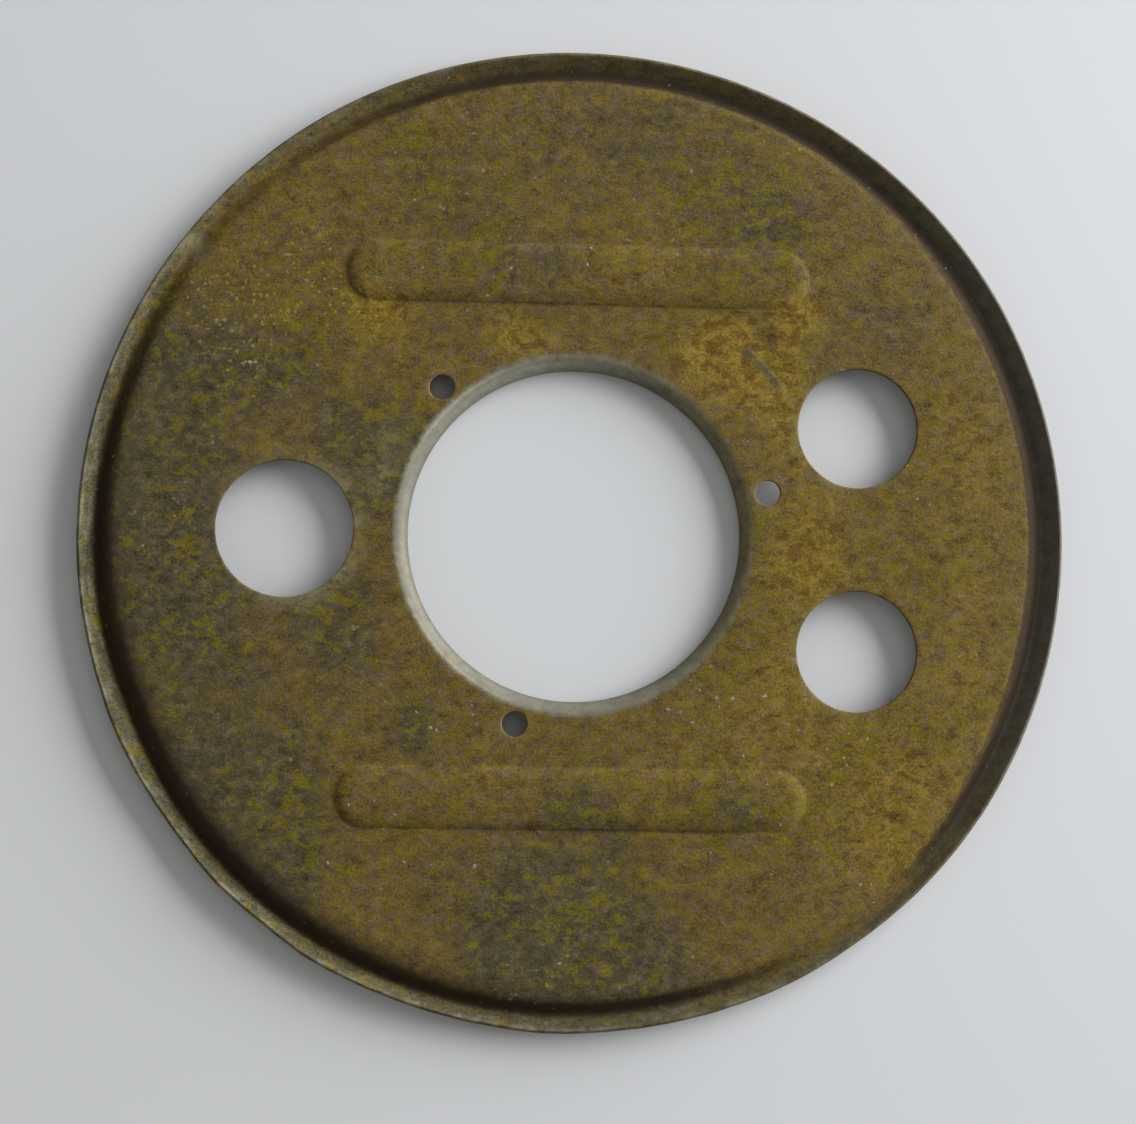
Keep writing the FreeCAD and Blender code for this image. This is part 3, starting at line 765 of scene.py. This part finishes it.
class Nodes:
    """Short calls for building a node tree. Each gives the socket that holds its result."""

    def __init__(self, material):
        material.use_nodes = True
        self.tree = material.node_tree
        self.tree.nodes.clear()

    def add(self, kind, inputs=(), **settings):
        """Adds a node, with inputs given by name or number, and gives the node itself."""
        node = self.tree.nodes.new(kind)
        for name, value in settings.items():
            setattr(node, name, value)
        for socket, value in dict(inputs).items():
            self.put(node.inputs[socket], value)
        return node

    def put(self, socket, value):
        """Links a socket to an input, or sets the input to a plain value."""
        if isinstance(value, bpy.types.NodeSocket):
            self.tree.links.new(value, socket)
        elif socket.type == "RGBA":
            socket.default_value = (*value, 1.0)
        else:
            socket.default_value = value

    def attribute(self, name):
        """A number painted on the mesh."""
        return self.add("ShaderNodeAttribute", attribute_name=name).outputs["Fac"]

    def noise(self, place, size, detail=3.0, rough=0.55, distortion=0.0):
        """Noise whose blotches are about size across, in metres."""
        return self.add("ShaderNodeTexNoise", {
            "Vector": place, "Scale": 1 / size, "Detail": detail, "Roughness": rough,
            "Distortion": distortion}).outputs["Fac"]

    def math(self, operation, a, b=0.0):
        return self.add("ShaderNodeMath", {0: a, 1: b}, operation=operation).outputs[0]

    def times(self, a, b):
        return self.math("MULTIPLY", a, b)

    def spread(self, value, noise, share):
        """Adds a noise, counted from its middle value, to a value."""
        return self.math("ADD", value, self.times(self.math("SUBTRACT", noise, 0.5), share))

    def vector(self, operation, a, b):
        return self.add("ShaderNodeVectorMath", {0: a, 1: b}, operation=operation).outputs[0]

    def cells(self, place, size):
        """Distance to the nearest of scattered points that are about size apart, in sizes."""
        return self.add("ShaderNodeTexVoronoi", {"Vector": place, "Scale": 1 / size}).outputs["Distance"]

    def grade(self, tint, factor):
        """Multiplies a colour by a number."""
        return self.mix(1.0, tint, self.add("ShaderNodeCombineColor", {
            0: factor, 1: factor, 2: factor}).outputs[0], "MULTIPLY")

    def arc(self, place, radius, degrees, half_angle, half_width):
        """1 on an arc concentric with the disc, fading across its width and at its two ends."""
        x, y, _ = self.add("ShaderNodeSeparateXYZ", {0: place}).outputs
        way = self.math("ARCTAN2", y, x)
        reach = self.add("ShaderNodeVectorMath", {0: place}, operation="LENGTH").outputs["Value"]
        beside = self.math("ABSOLUTE", self.math("SUBTRACT", reach, radius))
        beyond = self.math("ABSOLUTE", self.math("SUBTRACT", way, radians(degrees)))
        return self.times(self.step(beside, half_width, 0.3 * half_width),
                          self.step(beyond, radians(half_angle), 0.5 * radians(half_angle)))

    def step(self, value, low, high):
        """0 below low, 1 above high and an S-curve between; low may be above high."""
        return self.add("ShaderNodeMapRange", {
            "Value": value, "From Min": low, "From Max": high},
            interpolation_type="SMOOTHSTEP").outputs["Result"]

    def mix(self, factor, a, b, blend="MIX"):
        """Goes from colour a to colour b as the factor goes from 0 to 1."""
        node = self.add("ShaderNodeMix", data_type="RGBA", blend_type=blend)
        self.put(node.inputs[0], factor)
        self.put(node.inputs[6], a)
        self.put(node.inputs[7], b)
        return node.outputs[2]


class RustNoise:
    """The noises that the layers of rust share, from broad blotches to fine grain."""

    def __init__(self, n):
        self.place = n.add("ShaderNodeTexCoord").outputs["Object"]
        self.drawn = n.vector("MULTIPLY", self.place, (0.85, 1.1, 1.0))
        self.flat = n.vector("MULTIPLY", self.place, (1.0, 1.0, 0.0))
        self.broad = n.noise(self.place, 24 * MM, 4, 0.6, 0.3)
        self.blotch = n.noise(n.vector("ADD", self.place, (0.4, 0.1, 0.0)), 6 * MM, 5, 0.65, 0.4)
        self.speckle = n.noise(n.vector("ADD", self.drawn, (0.1, 0.3, 0.0)), 1.7 * MM, 3, 0.6, 0.3)
        self.other = n.noise(n.vector("ADD", self.drawn, (0.7, 0.2, 0.1)), 2.1 * MM, 3, 0.6, 0.3)
        self.clump = n.noise(n.vector("ADD", self.drawn, (0.2, 0.9, 0.4)), 3.4 * MM, 4, 0.7, 0.5)
        self.tone = n.noise(self.drawn, 3.0 * MM, 6, 0.85)
        self.grain = n.noise(self.place, 0.5 * MM, 2, 0.8)


def rust_tones(n, finish, noise):
    """Umber and greyer olive, with mauve, fresh, red-brown and yellow-green spots, and a fine
    light and dark grain over them all."""
    grey = n.spread(n.attribute("grey"), noise.broad, 1.8)
    rust = n.mix(n.step(n.spread(grey, noise.blotch, 1.2), 0.1, 0.85), finish.umber, finish.olive)
    purple = n.step(n.spread(noise.other, noise.blotch, 0.4), 0.47, 0.61)
    rust = n.mix(n.times(purple, 0.78), rust, finish.mauve)
    fresh = n.spread(n.spread(n.attribute("fresh"), noise.blotch, 0.9), noise.speckle, 1.2)
    rust = n.mix(n.times(n.step(fresh, 0.1, 1.2), 0.8), rust, finish.orange)
    reddish = n.spread(n.spread(noise.clump, n.attribute("fresh"), 0.16), noise.other, -0.4)
    rust = n.mix(n.times(n.step(reddish, 0.53, 0.64), 0.75), rust, finish.russet)
    gaps = n.math("SUBTRACT", 1.0, noise.clump)
    mossy = n.spread(n.spread(gaps, noise.broad, 0.5), noise.speckle, 0.5)
    rust = n.mix(n.times(n.step(mossy, 0.54, 0.62), 0.85), rust, finish.moss)
    shade = n.spread(n.spread(1.0, noise.tone, finish.contrast), noise.grain, finish.contrast * 0.7)
    return n.grade(rust, n.spread(shade, noise.clump, finish.contrast * -0.35))


def lay_lip_film(n, finish, noise, rust):
    """The broken film on the lip, grey-green with paler streaks along it."""
    film = n.times(n.attribute("lip"), n.step(n.spread(noise.clump, noise.speckle, 0.9), 0.34, 0.50))
    pale = n.spread(n.spread(noise.blotch, noise.broad, 0.8), n.attribute("streaks"), 0.5)
    filmed = n.mix(n.step(pale, 0.44, 0.70), finish.lip_grey, finish.putty)
    shade = n.spread(n.spread(1.0, noise.tone, finish.contrast), noise.grain, finish.contrast)
    return n.mix(n.times(film, 0.9), rust, n.grade(filmed, shade))


def lay_rubs_light_dirt_and_shade(n, finish, noise, rust):
    """Rubbed rust beside the holes, with painted light on the rim's shoulder, and dirt with painted
    shade in the groove and at the ribs' feet.
    """
    # rubbed rust, and painted light on the rim's shoulder, in tan
    rub = n.times(n.attribute("rub"), n.step(n.spread(noise.blotch, noise.speckle, 0.6), 0.3, 0.6))
    rust = n.mix(rub, rust, finish.tan)
    # dirt and painted shade, laid in the soot colour
    dirt = n.spread(n.attribute("dirt"), n.spread(noise.blotch, noise.speckle, 0.9), 0.6)
    return n.mix(n.times(n.step(dirt, 0.05, 0.98), 0.93), rust, finish.soot_and_shade)


def lay_scuff(n, finish, noise, rust):
    """A curved scuff beside the upper hole, with a paler line along its outer side."""
    scuff = n.times(n.arc(noise.flat, 56.9 * MM, 43, 8.0, 1.25 * MM), n.step(noise.speckle, 0.2, 0.5))
    rust = n.mix(n.times(scuff, 0.55), rust, finish.scuff)
    line = n.times(n.arc(noise.flat, 58.0 * MM, 42, 7.0, 0.6 * MM), n.step(noise.other, 0.3, 0.55))
    return n.mix(n.times(line, 0.6), rust, finish.tan)


def lay_grains_and_chips(n, finish, noise, rust):
    """Yellow grains and pale chips: cells whose places are shaken, so that they are ragged."""
    wobble = n.add("ShaderNodeTexNoise", {"Vector": noise.place, "Scale": 1 / (0.9 * MM)}).outputs["Color"]
    shake = n.add("ShaderNodeVectorMath", {0: wobble, 3: 1.1 * MM}, operation="SCALE").outputs[0]
    rough_place = n.vector("ADD", noise.place, shake)
    grains = n.spread(n.cells(rough_place, 1.7 * MM), noise.speckle, 0.5)
    wanted = n.step(n.spread(n.attribute("grains"), noise.other, 2.4), 0.2, 0.7)
    rust = n.mix(n.times(n.times(n.step(grains, 0.31, 0.12), wanted), 0.8), rust, finish.gold)
    flecks = n.cells(n.vector("ADD", rough_place, (0.2, 0.5, 0.0)), 2.2 * MM)
    flecks = n.step(n.spread(flecks, noise.speckle, 0.4), 0.21, 0.09)
    wanted = n.step(n.spread(n.attribute("grit"), noise.other, 2.4), 0.22, 0.6)
    return n.mix(n.times(n.times(flecks, wanted), 0.9), rust, finish.chip)


def bare_share(n, noise):
    """How bare the steel is: at the collar, and in places along the lip's edge, where the extra on the
    side away from the light is painted light on the edge's shade.
    """
    collar = n.spread(n.attribute("bare"), n.spread(noise.blotch, noise.speckle, 0.8), 0.7)
    edge = n.times(n.attribute("edge"), n.step(noise.blotch, 0.42, 0.6))
    return n.math("MAXIMUM", n.step(collar, 0.1, 0.95), n.times(edge, 0.75))


def rubbed_steel(n, finish, noise):
    """Steel over the collar's bend, duller down its wall, with a painted highlight along the line where
    the collar turns down.
    """
    steel = n.mix(n.attribute("wall"), finish.steel, finish.wall_grey)
    steel = n.mix(n.times(n.attribute("polish"), 0.9), steel, finish.bright)
    return n.grade(steel, n.spread(1.0, noise.tone, 1.2))


def rusted_steel(finish):
    """Rust over pressed steel, built up in layers, with rubbed steel and a painted highlight at the
    collar, and painted shade in dark grey on the lip of the lit side, which faces away from the
    light. Bare steel is smoother than rust."""
    material = bpy.data.materials.new("rusted_sheet_steel")
    n = Nodes(material)
    noise = RustNoise(n)
    rust = rust_tones(n, finish, noise)
    for lay in (lay_lip_film, lay_rubs_light_dirt_and_shade, lay_scuff, lay_grains_and_chips):
        rust = lay(n, finish, noise, rust)
    bare = bare_share(n, noise)
    # the painted highlight also shows as steel
    shown = n.math("MAXIMUM", bare, n.times(n.attribute("polish"), 0.8))
    base = n.mix(shown, rust, rubbed_steel(n, finish, noise))
    # painted shade: dark grey on the lip of the lit side, which faces away from the light
    lip_shade = n.grade(finish.painted_shade_grey, n.spread(1.0, noise.tone, finish.contrast * 0.6))
    base = n.mix(n.times(n.attribute("oil"), 0.85), base, lip_shade)
    heights = n.times(n.spread(noise.tone, noise.grain, 0.4), n.math("SUBTRACT", 1.0, n.times(bare, 0.75)))
    bump = n.add("ShaderNodeBump", {"Strength": 0.8, "Distance": 0.25 * MM, "Height": heights})
    rough = n.spread(n.math("SUBTRACT", finish.roughness, n.times(bare, 0.24)), noise.grain, 0.25)
    shader = n.add("ShaderNodeBsdfPrincipled", {
        "Base Color": base, "Roughness": rough, "Metallic": n.times(bare, 0.15),
        "Normal": bump.outputs[0], "Specular IOR Level": 0.2})
    n.add("ShaderNodeOutputMaterial", {"Surface": shader.outputs[0]})
    return material


def pale_floor(stage):
    """A plain, slightly glossy floor."""
    material = bpy.data.materials.new("pale_floor")
    n = Nodes(material)
    shader = n.add("ShaderNodeBsdfPrincipled", {
        "Base Color": stage.floor, "Roughness": 0.55, "Specular IOR Level": 0.3})
    n.add("ShaderNodeOutputMaterial", {"Surface": shader.outputs[0]})
    return material


# Operators.

def link(item):
    """Puts an object in the scene and gives it back."""
    bpy.context.scene.collection.objects.link(item)
    return item


class COVERDISC_OT_press(bpy.types.Operator):
    """Press the worn disc from its blank and give it its rust"""

    bl_idname = "coverdisc.press"
    bl_label = "Press Disc"

    def execute(self, context):
        scene = context.scene
        sheet = Sheet(scene.cover_disc_sizes, scene.cover_disc_wear)
        vertices, faces, blank = press_sheet(sheet)
        mesh = make_mesh("pressed_disc", vertices, faces)
        mark_wear_light_and_shade(mesh, sheet, vertices, blank)
        mesh.materials.append(rusted_steel(scene.cover_disc_finish))
        disc = link(bpy.data.objects.new("pressed_disc", mesh))
        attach(disc, "root")
        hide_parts("cover_disc")
        return {"FINISHED"}


class COVERDISC_OT_stage(bpy.types.Operator):
    """Lay a pale floor under the disc and set the camera and the soft light"""

    bl_idname = "coverdisc.stage"
    bl_label = "Set Stage"

    def execute(self, context):
        stage = context.scene.cover_disc_stage
        self.lay_floor(stage)
        self.set_camera(context.scene, stage)
        self.set_lights(context.scene, stage)
        return {"FINISHED"}

    def lay_floor(self, stage):
        """Lays one square just under the collar's foot."""
        half, level = stage.floor_half, CAD_BOX[0].z - stage.floor_gap
        corners = [(-half, -half, level), (half, -half, level), (half, half, level), (-half, half, level)]
        mesh = bpy.data.meshes.new("floor")
        mesh.from_pydata(corners, [], [(0, 1, 2, 3)])
        mesh.materials.append(pale_floor(stage))
        link(bpy.data.objects.new("floor", mesh))

    def set_camera(self, scene, stage):
        """Stands the camera off the aim, leaning towards one side, and rolls it."""
        back = Vector((sin(stage.camera_tilt) * cos(stage.camera_side),
                       sin(stage.camera_tilt) * sin(stage.camera_side), cos(stage.camera_tilt)))
        level = Vector((-sin(stage.camera_roll), cos(stage.camera_roll), 0))
        right = level.cross(back).normalized()
        above = back.cross(right)
        camera = link(bpy.data.objects.new("camera", bpy.data.cameras.new("camera")))
        camera.data.lens = stage.lens
        camera.data.clip_start = 10 * MM
        turn = Matrix((right, above, back)).transposed()
        place = Vector(stage.aim) + back * stage.camera_distance
        camera.matrix_world = Matrix.Translation(place) @ turn.to_4x4()
        scene.camera = camera

    def set_lights(self, scene, stage):
        """A broad low lamp from one side, a weaker one above it, one opposite and an even sky."""
        side, height = stage.key_side, stage.key_height
        self.add_lamp("key", side, height, stage.key_power, stage)
        self.add_lamp("top", side + stage.top_side, stage.top_height, stage.top_power, stage)
        self.add_lamp("back", side + pi, height + stage.back_lift, stage.back_power, stage)
        world = bpy.data.worlds.new("soft_sky")
        world.use_nodes = True
        sky = world.node_tree.nodes["Background"]
        sky.inputs["Color"].default_value = (*stage.sky, 1.0)
        sky.inputs["Strength"].default_value = stage.fill_power
        scene.world = world
        scene.view_settings.view_transform = "Standard"

    def add_lamp(self, name, side, height, power, stage):
        """Places a broad lamp in a direction from the disc and turns it to face the disc."""
        away = Vector((cos(side) * cos(height), sin(side) * cos(height), sin(height)))
        lamp = bpy.data.lights.new(name, "AREA")
        lamp.shape = "RECTANGLE"
        lamp.size = stage.key_width
        lamp.size_y = stage.key_tall
        lamp.energy = power
        item = link(bpy.data.objects.new(name, lamp))
        item.location = away * stage.lamp_distance
        item.rotation_mode = "QUATERNION"
        item.rotation_quaternion = away.to_track_quat("Z", "Y")


class COVERDISC_PT_panel(bpy.types.Panel):
    """Sizes, wear, finish and stage of the cover disc"""

    bl_label = "Cover Disc"
    bl_idname = "COVERDISC_PT_panel"
    bl_space_type = "VIEW_3D"
    bl_region_type = "UI"
    bl_category = "Cover Disc"

    def draw(self, context):
        for name in GROUPS:
            box = self.layout.box()
            group = getattr(context.scene, name)
            for field in group.bl_rna.properties.keys():
                if field not in ("rna_type", "name"):
                    box.prop(group, field)
        for operator in (COVERDISC_OT_press, COVERDISC_OT_stage):
            self.layout.operator(operator.bl_idname)


GROUPS = {
    "cover_disc_sizes": CoverDiscSizes,
    "cover_disc_wear": CoverDiscWear,
    "cover_disc_finish": CoverDiscFinish,
    "cover_disc_stage": CoverDiscStage,
}
CLASSES = (*GROUPS.values(), COVERDISC_OT_press, COVERDISC_OT_stage, COVERDISC_PT_panel)


def register():
    for item in CLASSES:
        bpy.utils.register_class(item)
    for name, group in GROUPS.items():
        setattr(bpy.types.Scene, name, PointerProperty(type=group))


def unregister():
    for name in GROUPS:
        delattr(bpy.types.Scene, name)
    for item in reversed(CLASSES):
        bpy.utils.unregister_class(item)


def main():
    register()
    bpy.ops.coverdisc.press()
    bpy.ops.coverdisc.stage()


if __name__ == "__main__":
    main()
